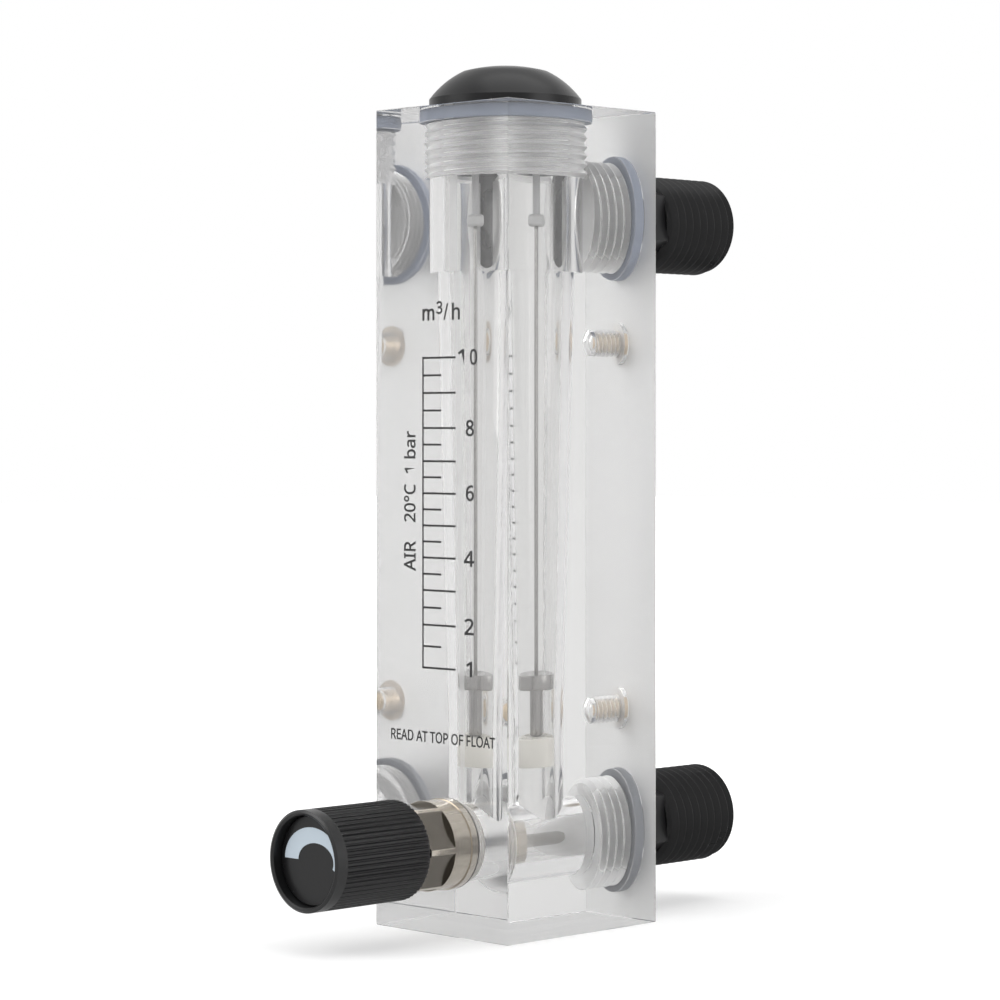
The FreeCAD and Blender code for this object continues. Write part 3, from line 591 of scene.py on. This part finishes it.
def make_guides(steel, sleeve_plastic, clear, cream):
    """The guide rod with its sleeve and stop bead, and the lower guide bush."""
    low, high = edges_of("rod_sleeve")
    sleeve = turned("rod_sleeve_piece", block_profile(ROD_HOLE, high[0], low[2], high[2]), segments=48,
                    rounding=0.15)
    finish_piece(sleeve, sleeve_plastic, "base", ["rod_sleeve"])
    low, high = edges_of("stop_bead")
    bead = turned("stop_bead_ring", block_profile(ROD_HOLE, BEAD_RADIUS, low[2], high[2]), segments=64,
                  rounding=0.75, steps=5)
    smooth(bead, 60)
    finish_piece(bead, clear, "base", ["stop_bead"])
    low, high = edges_of("guide_rod")
    rod = turned("guide_rod_pin", block_profile(0, high[0], low[2], high[2]), segments=48, rounding=0.2)
    finish_piece(rod, steel, "base", ["guide_rod"])
    low, high = GUIDE_LOW, GUIDE_HIGH
    bush = turned("lower_guide_bush", block_profile(0.85, high[0] - 0.03, low[2], high[2]), segments=96,
                  rounding=0.25)
    holes = []
    for i in range(6):
        angle = math.radians(60 * i + 30)
        deselect()
        bpy.ops.mesh.primitive_cylinder_add(vertices=32, radius=1.25 * MM, depth=12 * MM,
                                            location=(4.8 * MM * math.cos(angle), 4.8 * MM * math.sin(angle),
                                                      (low[2] + high[2]) / 2 * MM))
        holes.append(bpy.context.object)
        bpy.ops.object.transform_apply(location=True, rotation=True, scale=True)
    combine(bush, holes, "DIFFERENCE")
    smooth(bush, 35)
    finish_piece(bush, cream, "base", ["lower_guide"])


def make_float(steel):
    low, high = edges_of("float")
    wide = high[0]
    shoulder = low[2] + 9.7
    profile = [(0.95, low[2]), (2.3, low[2]), (2.5, low[2] + 0.2), (2.5, shoulder), (wide - 0.3, shoulder)]
    profile += [(wide, shoulder + 0.3), (wide, high[2] - 0.1), (wide - 0.1, high[2]), (0.95, high[2])]
    piece = turned("turned_float", profile, segments=128, rounding=0.08)
    return finish_piece(piece, steel, "float", ["float"])


# ---------------------------------------------------------------- valve

def hexagon_bar(name, across_flats, low, high, place, turn=0.0, rounding=0.3):
    """A hexagonal bar along Y between two distances from `place`, with softened edges."""
    deselect()
    corner = across_flats / math.sqrt(3)
    bpy.ops.mesh.primitive_cylinder_add(vertices=6, radius=corner * MM, depth=(high - low) * MM,
                                        location=(0, 0, (low + high) / 2 * MM),
                                        rotation=(0, 0, math.radians(turn)))
    bar = bpy.context.object
    bar.name = name
    bar.data.name = name
    bpy.ops.object.transform_apply(location=True, rotation=True, scale=True)
    if rounding:
        apply_modifier(bar, "BEVEL", width=rounding * MM, segments=2, limit_method="ANGLE")
    settle(bar, place, "Y")
    return bar


def join(piece, others):
    only(piece)
    for other in others:
        other.select_set(True)
    bpy.ops.object.join()
    return piece


def make_bonnet(nickel):
    """The valve bonnet: collar, six flats, neck, and the threaded shank in the block."""
    place = (0, 0, LOWER_AXIS * MM)
    collar = BONNET_HIGH[0]
    collar_end = GASKET_LOW[1]
    flats_end = collar_end - FLATS_END
    shoulder = collar_end - SHOULDER
    neck_end = BONNET_LOW[1]
    nose = BONNET_HIGH[1]
    shank = WAY_RADIUS - 0.05
    outer = [(3.2, neck_end), (6.55, neck_end), (7.0, neck_end + 0.45), (7.0, shoulder)]
    outer += [(collar - 1.0, shoulder)]
    wet = GASKET_HIGH[0] + WETTING
    outer += [(collar, shoulder + 0.7), (collar, FRONT), (wet, FRONT), (wet, collar_end), (7.3, collar_end)]
    outer += [(7.3, nose - 3.4), (8.05, nose - 3.4), (8.1, nose - 3.1), (8.1, nose - 0.3), (7.8, nose)]
    outer += [(4.36, nose), (4.36, collar_end - 7.2), (3.2, collar_end - 7.2)]
    bonnet = turned("valve_bonnet", outer, place, "Y", segments=160)
    flats = turned("flats_cutter", block_profile(0, 12, shoulder - 1, flats_end), place, "Y", segments=64)
    core = hexagon_bar("flats_core", BONNET_FLATS, shoulder - 2, flats_end + 2, place, 30, 0)
    combine(flats, [core], "DIFFERENCE")
    combine(bonnet, [flats], "DIFFERENCE")
    outward(bonnet)
    smooth(bonnet, 25)
    thread = threaded_rod("bonnet_thread", shank + 0.3, SHANK_THREAD_DEPTH, SHANK_PITCH,
                          GASKET_HIGH[1] + 0.1 - FRONT, nose - 3.4 - FRONT,
                          (0, FRONT * MM, LOWER_AXIS * MM), "Y", segments=96)
    hollow = turned("thread_hollow", block_profile(0, 7.0, collar_end - 2, nose + 2), place, "Y", segments=64)
    combine(thread, [hollow], "DIFFERENCE")
    smooth(thread, 20)
    finish_piece(thread, nickel, "base")
    return finish_piece(bonnet, nickel, "base", ["bonnet"])


def make_gasket(rubber_black):
    place = (0, 0, LOWER_AXIS * MM)
    low, high = GASKET_LOW, GASKET_HIGH
    gasket = turned("bonnet_gasket_ring", [(8.2, low[1] + 0.02), (high[0] + WETTING, low[1] + 0.02),
                                           (high[0] + WETTING, high[1] + WETTING), (8.2, high[1] + WETTING)],
                    place, "Y", segments=128)
    return finish_piece(gasket, rubber_black, "base", ["bonnet_gasket"])


def make_spindle(steel):
    """The needle: cone tip, stem, piston with its O-ring groove, plain shank and square end."""
    place = (0, 0, LOWER_AXIS * MM)
    low, high = edges_of("spindle")
    tip = high[1]
    ring_low, ring_high = edges_of("spindle_oring")
    piston_front = tip - 23.0
    piston_back = tip - 29.3
    square_start = low[1] + 8.5
    profile = [(0, tip), (0.9, tip), (2.5, tip - 3.0), (2.5, piston_front), (4.05, piston_front)]
    profile += [(4.3, piston_front - 0.25), (4.3, ring_high[1] + 0.05), (3.35, ring_high[1] + 0.05)]
    profile += [(3.35, ring_low[1] - 0.05), (4.3, ring_low[1] - 0.05), (4.3, piston_back), (3.0, piston_back)]
    profile += [(3.0, square_start), (0, square_start)]
    needle = turned("valve_needle", profile, place, "Y", segments=96)
    deselect()
    middle = (low[1] + square_start + 0.5) / 2
    bpy.ops.mesh.primitive_cube_add(size=1, location=(0, middle * MM, LOWER_AXIS * MM))
    square = bpy.context.object
    square.scale = (4 * MM, (square_start + 0.5 - low[1]) * MM, 4 * MM)
    bpy.ops.object.transform_apply(location=True, rotation=True, scale=True)
    apply_modifier(square, "BEVEL", width=0.2 * MM, segments=2, limit_method="ANGLE")
    join(needle, [square])
    smooth(needle, 30)
    return finish_piece(needle, steel, "valve", ["spindle"])


def make_knob(plastic, cap_plastic, mark_ink):
    """The fluted knob, its cap plug and the tapering mark printed on the cap."""
    place = (0, 0, LOWER_AXIS * MM)
    radius = KNOB_HIGH[0]
    face = KNOB_LOW[1]
    back = KNOB_HIGH[1]
    shelf = CAP_HIGH[1]
    cap_face = CAP_LOW[1]
    hollow = back - 9.8
    profile = [(2.15, shelf), (CAP_HIGH[0] + 0.05, shelf), (CAP_HIGH[0] + 0.05, cap_face), (9.1, face + 0.35)]
    profile += [(9.45, face), (9.65, face), (radius, face + 0.3), (radius, face + 1.3), (radius, back - 0.35)]
    profile += [(radius - 0.35, back), (7.75, back), (7.5, back - 0.25), (7.5, hollow), (2.15, hollow)]
    knob = turned("fluted_knob", profile, place, "Y", segments=228)
    deselect()
    flute_start = face + 2.9
    length = back + 1 - flute_start
    groove = 0.5
    bpy.ops.mesh.primitive_cylinder_add(vertices=12, radius=groove * MM, depth=length * MM,
                                        location=((radius + groove - 0.5) * MM, 0, 0))
    cutter = bpy.context.object
    bpy.ops.object.transform_apply(location=True, rotation=True, scale=True)
    bpy.ops.object.empty_add()
    step = bpy.context.object
    step.rotation_euler = (0, 0, 2 * math.pi / FLUTES)
    bpy.context.view_layer.update()
    apply_modifier(cutter, "ARRAY", count=FLUTES, use_relative_offset=False, use_object_offset=True,
                   offset_object=step)
    bpy.data.objects.remove(step)
    settle(cutter, (0, (flute_start + length / 2) * MM, LOWER_AXIS * MM), "Y")
    combine(knob, [cutter], "DIFFERENCE")
    outward(knob)
    smooth(knob, 30)
    finish_piece(knob, plastic, "valve", ["knob"])
    rim = CAP_HIGH[0] - 0.02
    foot = CAP_HIGH[1] - 0.02
    outline = [(0, cap_face), (CAP_HIGH[0] - 0.3, cap_face), (rim, cap_face + 0.25), (rim, foot), (0, foot)]
    disc = turned("knob_cap_plug", outline, place, "Y", segments=128)
    finish_piece(disc, cap_plastic, "valve", ["knob_cap"])
    outer = [arc_point(0.4, 0, (8.1, 6.6), angle) for angle in range(180, -19, -6)]
    inner = [arc_point(1.5, 0, (5.2, 3.6), angle) for angle in range(-18, 181, 6)]
    mark = drawn_line("knob_mark", [(x * MM, z * MM) for x, z in outer + inner], closed=True)
    only(mark)
    bpy.ops.object.mode_set(mode="EDIT")
    bpy.ops.mesh.select_all(action="SELECT")
    bpy.ops.mesh.edge_face_add()
    bpy.ops.mesh.extrude_region_move(TRANSFORM_OT_translate={"value": (0, -0.05 * MM, 0)})
    bpy.ops.object.mode_set(mode="OBJECT")
    outward(mark)
    settle(mark, (0, (cap_face - 0.005) * MM, LOWER_AXIS * MM))
    return finish_piece(mark, mark_ink, "valve")


def arc_point(across, up, radii, degrees):
    angle = math.radians(degrees)
    return across + radii[0] * math.cos(angle), up + radii[1] * math.sin(angle)


# ---------------------------------------------------------------- ports and inserts

def make_connector(name, node, axis, plastic):
    """A hexagon connector: outer pipe thread, hexagon, neck through the seal and inner thread in the port."""
    low, high = edges_of(node)
    place = (0, 0, axis * MM)
    end = high[1]
    hexagon_end = BACK + 15.0
    seal_floor = SEAL_LOW[1] - BACK - 0.05
    neck = block_profile(FLOW_BORE, 10.55, BACK - 3.2, BACK + 0.3)
    body = turned(name, neck, place, "Y", segments=128)
    bar = hexagon_bar(name + "_hexagon", 17.0, BACK + 0.02, hexagon_end + 0.6, place, -6.0)
    outer = threaded_rod(name + "_pipe_thread", PIPE_RADIUS, PIPE_THREAD_DEPTH, PIPE_PITCH, hexagon_end, end,
                         place, "Y", rounding=0.12)
    shape = [(0, hexagon_end - 1), (9.0, hexagon_end - 1), (9.0, hexagon_end)]
    shape += [(PIPE_RADIUS, hexagon_end + 1.1), (PIPE_RADIUS + 0.1, hexagon_end + 1.2)]
    shape += [(PIPE_RADIUS + 0.1, end - 1.1), (PIPE_RADIUS - 1.1, end), (0, end)]
    combine(outer, [turned("lead_in", shape, place, "Y", segments=128)], "INTERSECT")
    inner = threaded_rod(name + "_port_thread", PORT_RADIUS - WALL_GAP, PORT_THREAD_DEPTH, PORT_PITCH,
                         low[1] - BACK, seal_floor, (0, BACK * MM, axis * MM), "Y")
    parts = []
    for part in (bar, outer, inner):
        bore = turned("flow_bore", block_profile(0, FLOW_BORE, low[1] - 2, end + 2), place, "Y", segments=96)
        combine(part, [bore], "DIFFERENCE")
        outward(part)
        smooth(part, 30)
        parts.append(part)
    join(body, parts)
    return finish_piece(body, plastic, "base", [node])


def make_insert(name, node, brass):
    low, high = edges_of(node)
    axis = (low[2] + high[2]) / 2
    place = (0, high[1] * MM, axis * MM)
    flange = high[0] - 0.03
    rim = [(2.05, -1.15), (flange, -1.15), (flange, -0.15), (flange - 0.15, 0), (2.3, 0), (2.05, -0.25)]
    body = turned(name, rim, place, "Y", segments=96)
    thread = threaded_rod(name + "_thread", INSERT_RADIUS - WALL_GAP, INSERT_THREAD_DEPTH, INSERT_PITCH,
                          -INSERT_LENGTH, -1.1, place, "Y", segments=64)
    bore = turned("screw_bore", block_profile(0, 2.0, 0.8 - INSERT_LENGTH, 1), place, "Y", segments=64)
    combine(thread, [bore], "DIFFERENCE")
    smooth(thread, 25)
    join(body, [thread])
    return finish_piece(body, brass, "base", [node])


# ---------------------------------------------------------------- print on the front face

def bar_mark(left, right, low, high):
    """A printed line, as a thin box on the front face."""
    deselect()
    bpy.ops.mesh.primitive_cube_add(size=1, location=((left + right) / 2 * MM, (FRONT - 0.02) * MM,
                                                      (low + high) / 2 * MM))
    mark = bpy.context.object
    mark.scale = ((right - left) * MM, 0.02 * MM, (high - low) * MM)
    bpy.ops.object.transform_apply(location=True, rotation=True, scale=True)
    return mark


def print_font():
    """A plain sans serif that comes with Blender, if this Blender has it."""
    folder = bpy.utils.system_resource("DATAFILES", path="fonts")
    font = os.path.join(folder, "NotoSansHebrew-Regular.woff2")
    return bpy.data.fonts.load(font) if os.path.exists(font) else None


def words(text, middle, height, width, tall, turn=0.0, weight=0.07):
    """Printed words, stretched to `width` long and `tall` high, with their middle at a place on the dial."""
    deselect()
    bpy.ops.object.text_add()
    label = bpy.context.object
    if PRINT_FONT:
        label.data.font = PRINT_FONT
    label.data.body = text
    label.data.size = tall / CAPITAL * MM
    label.data.extrude = 0.01 * MM
    label.data.offset = weight * MM
    label.data.resolution_u = 3
    bpy.ops.object.convert(target="MESH")
    label = bpy.context.object
    label.name = "printed_words"
    label.data.name = "printed_words"
    bpy.ops.object.origin_set(type="ORIGIN_GEOMETRY", center="BOUNDS")
    label.scale = (width * MM / label.dimensions.x, tall * MM / label.dimensions.y, 1)
    bpy.ops.object.transform_apply(location=False, rotation=False, scale=True)
    label.rotation_euler = (math.pi / 2, -math.radians(turn), 0)
    label.location = (middle * MM, (FRONT - 0.02) * MM, height * MM)
    bpy.ops.object.transform_apply(location=True, rotation=True, scale=True)
    return label


SCALE_HEIGHTS = [54.5, 63.3, 70.4, 77.1, 83.7, 90.3, 96.9, 103.7, 110.9, 118.1]     # of the marks 1 to 10
PRINT_FONT = print_font()
SCALE_LEFT = -5.2
SCALE_LINE = 0.42
CAPITAL = 0.714             # height of the font's capitals, as a share of its size


def make_scale(black_ink):
    """The flow scale: one upright, a long line for each whole unit and a short one for each half."""
    half = SCALE_LINE / 2
    foot, head = SCALE_HEIGHTS[0] - half, SCALE_HEIGHTS[-1] + half
    marks = [bar_mark(SCALE_LEFT - half, SCALE_LEFT + half, foot, head)]
    for height in SCALE_HEIGHTS:
        marks.append(bar_mark(SCALE_LEFT, 4.45, height - half, height + half))
    for lower, upper in zip(SCALE_HEIGHTS, SCALE_HEIGHTS[1:]):
        middle = (lower + upper) / 2
        marks.append(bar_mark(SCALE_LEFT, 0.2, middle - half, middle + half))
    scale = join(marks[0], marks[1:])
    scale.name = "scale_lines"
    finish_piece(scale, black_ink, "base")
    figures = []
    for figure, middle, height, width, tall in (
            ("1", 8.4, 54.8, 1.74, 3.14), ("2", 8.38, 63.4, 2.76, 3.35), ("4", 8.36, 77.2, 3.0, 3.24),
            ("6", 8.6, 90.5, 2.3, 3.24), ("8", 8.6, 103.7, 2.3, 3.35), ("1", 6.0, 118.1, 1.9, 3.25),
            ("0", 9.66, 118.1, 2.11, 3.23), ("m", -3.59, 127.0, 3.57, 2.46), ("3", -0.33, 128.35, 1.78, 2.66),
            ("/", 1.58, 127.5, 1.47, 3.37), ("h", 4.52, 127.5, 2.34, 3.46)):
        figures.append(words(figure, middle, height, width, tall))
    for condition, height, length in (("AIR", 77.3, 6.2), ("20°C", 88.2, 7.8), ("1 bar", 98.7, 8.8)):
        figures.append(words(condition, -9.15, height, length, 3.5, turn=90))
    figures.append(words("READ AT TOP OF FLOAT", 0.52, 40.3, 30.7, 2.3, weight=0.05))
    legend = join(figures[0], figures[1:])
    legend.name = "scale_figures"
    outward(legend)
    finish_piece(legend, black_ink, "base")


# ---------------------------------------------------------------- finishes

PLUG_PLASTIC = moulded_plastic("plug_plastic", (0.005, 0.005, 0.0055), gloss=0.3, shine=0.26)
KNOB_PLASTIC = moulded_plastic("knob_plastic", (0.007, 0.007, 0.0075), gloss=0.32, shine=0.42)
CAP_PLASTIC = moulded_plastic("cap_plastic", (0.005, 0.005, 0.0055), gloss=0.3)
CREAM_PLASTIC = moulded_plastic("cream_plastic", (0.68, 0.66, 0.61), gloss=0.45)
SLEEVE_PLASTIC = moulded_plastic("sleeve_plastic", (0.44, 0.44, 0.45), gloss=0.4)
SEAL_RUBBER = rubber("seal_rubber", (0.22, 0.25, 0.32))
LOWER_SEAL_RUBBER = rubber("lower_seal_rubber", (0.16, 0.17, 0.19))
BLACK_RUBBER = rubber("black_rubber", (0.02, 0.02, 0.02))
CLEAR_RUBBER = rubber("clear_rubber", (0.5, 0.5, 0.5))
STAINLESS = turned_metal("stainless_steel", (0.42, 0.41, 0.4), 2)
SPINDLE_STEEL = turned_metal("spindle_steel", (0.55, 0.53, 0.5), 1)
FLOAT_STEEL = turned_metal("float_steel", (0.4, 0.39, 0.38), 2, 0.22)
# the nickel's last argument paints a dark reflection on the bonnet's flats, from the shoulder to the end of
# the flats
NICKEL = turned_metal("nickel_plate", (0.62, 0.57, 0.5), 1, 0.16, painted_reflection_span=(
    BONNET_HIGH[0] - 0.05, GASKET_LOW[1] - SHOULDER, GASKET_LOW[1] - FLATS_END + 0.05))
BRASS = turned_metal("brass", (0.83, 0.68, 0.5), 1, 0.35)
ZINC = turned_metal("zinc_steel", (0.5, 0.5, 0.52), 1, 0.35)
BLACK_INK = ink("black_ink", (0.01, 0.01, 0.01))
MARK_INK = ink("mark_ink", (0.52, 0.6, 0.67))
ACRYLIC = clear_acrylic()


# ---------------------------------------------------------------- the object

make_block(ACRYLIC)
make_plug(PLUG_PLASTIC)
make_oring("plug_oring", "plug_seal", "Z", SEAL_RUBBER)
make_oring("upper_port_oring", "upper_port_seal", "Y", SEAL_RUBBER)
make_oring("lower_port_oring", "lower_port_seal", "Y", LOWER_SEAL_RUBBER)
make_guides(STAINLESS, SLEEVE_PLASTIC, CLEAR_RUBBER, CREAM_PLASTIC)
make_float(FLOAT_STEEL)
make_bonnet(NICKEL)
make_gasket(BLACK_RUBBER)
make_spindle(SPINDLE_STEEL)
make_knob(KNOB_PLASTIC, CAP_PLASTIC, MARK_INK)
make_connector("upper_pipe_connector", "upper_connector", UPPER_AXIS, PLUG_PLASTIC)
make_connector("lower_pipe_connector", "lower_connector", LOWER_AXIS, PLUG_PLASTIC)
make_insert("upper_mount_insert", "upper_insert", BRASS)
make_insert("lower_mount_insert", "lower_insert", BRASS)
make_scale(BLACK_INK)

for node, material, slot in (("spindle_oring", BLACK_RUBBER, "black_rubber"),
                             ("knob_screw", ZINC, "zinc_steel")):
    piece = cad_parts[node]
    piece.data.materials.clear()
    piece.data.materials.append(material)


# ---------------------------------------------------------------- stage, light and camera

THROUGH = 0.9              # how bright the room looks in glass and metal


def make_stage():
    deselect()
    bpy.ops.mesh.primitive_plane_add(size=6)
    floor = bpy.context.object
    floor.name = "floor"
    material, f = new_finish("pale_floor")
    bent = f.light_path("Is Glossy Ray") + f.light_path("Is Transmission Ray")
    distance = f.node("ShaderNodeVectorMath", {"operation": "LENGTH"}, {0: f.place()}, output=1)
    glow = f.mixed(f.light_path("Is Camera Ray"), rgb(0, 0, 0), f.ramp(distance, [(0.1, 0.3), (0.6, 1.0)]))
    lit = f.node("ShaderNodeBsdfPrincipled", inputs={
        "Base Color": rgb(0.8, 0.8, 0.8), "Roughness": 0.9, "Specular IOR Level": 0.0, "Emission Color": glow,
        "Emission Strength": 1.0})
    plain = f.node("ShaderNodeEmission", inputs={"Color": rgb(THROUGH, THROUGH, THROUGH), "Strength": 1.0})
    far = f.ramp(distance, [(0.12, 0.35), (0.4, 1.0)])
    f.surface(f.node("ShaderNodeMixShader", inputs={0: bent * far, 1: lit, 2: plain}))
    floor.data.materials.append(material)
    world = bpy.data.worlds.new("studio")
    bpy.context.scene.world = world
    f = Finish(world)
    f.owner = world
    bent = f.light_path("Is Glossy Ray") + f.light_path("Is Transmission Ray")
    around = f.node("ShaderNodeTexCoord", output="Generated")
    rooms = f.noise(1.4, 1.0, vector=around)
    through = f.ramp(rooms, [(0.35, THROUGH - 0.1), (0.6, THROUGH + 0.06)])
    level = f.mixed(bent, rgb(0.62, 0.62, 0.62), through)
    f.surface(f.node("ShaderNodeBackground", inputs={
        "Color": f.mixed(f.light_path("Is Camera Ray"), level, rgb(1, 1, 1)), "Strength": 1.0}))


def make_lamp(name, place, target, size, power):
    lamp = bpy.data.lights.new(name, "AREA")
    lamp.shape = "RECTANGLE"
    lamp.size, lamp.size_y = size
    lamp.energy = power
    holder = bpy.data.objects.new(name, lamp)
    bpy.context.scene.collection.objects.link(holder)
    holder.location = place
    holder.rotation_euler = (Vector(target) - Vector(place)).to_track_quat("-Z", "Y").to_euler()


def make_camera():
    camera = bpy.data.cameras.new("camera")
    holder = bpy.data.objects.new("camera", camera)
    bpy.context.scene.collection.objects.link(holder)
    bpy.context.scene.camera = holder
    holder.location = (0.4705, -0.4696, 0.1042)
    ahead = Vector((-0.709, 0.7053, 0))
    holder.rotation_euler = ahead.to_track_quat("-Z", "Y").to_euler()
    camera.lens = 114.7
    camera.sensor_width = 36
    camera.shift_x = 0.0
    camera.shift_y = -0.0744


make_stage()
CENTRE = (0, 0, 0.09)
make_lamp("key", (-0.55, -0.9, 0.7), CENTRE, (0.8, 0.9), 6.0)
make_lamp("side", (1.1, 0.25, 0.45), CENTRE, (0.7, 0.9), 4.0)
make_lamp("top", (0.1, 0.1, 1.2), CENTRE, (1.0, 1.0), 4.0)
make_camera()

scene = bpy.context.scene
scene.view_settings.view_transform = "Standard"
scene.cycles.max_bounces = 32
scene.cycles.transmission_bounces = 32
scene.cycles.glossy_bounces = 16
scene.cycles.transparent_max_bounces = 24
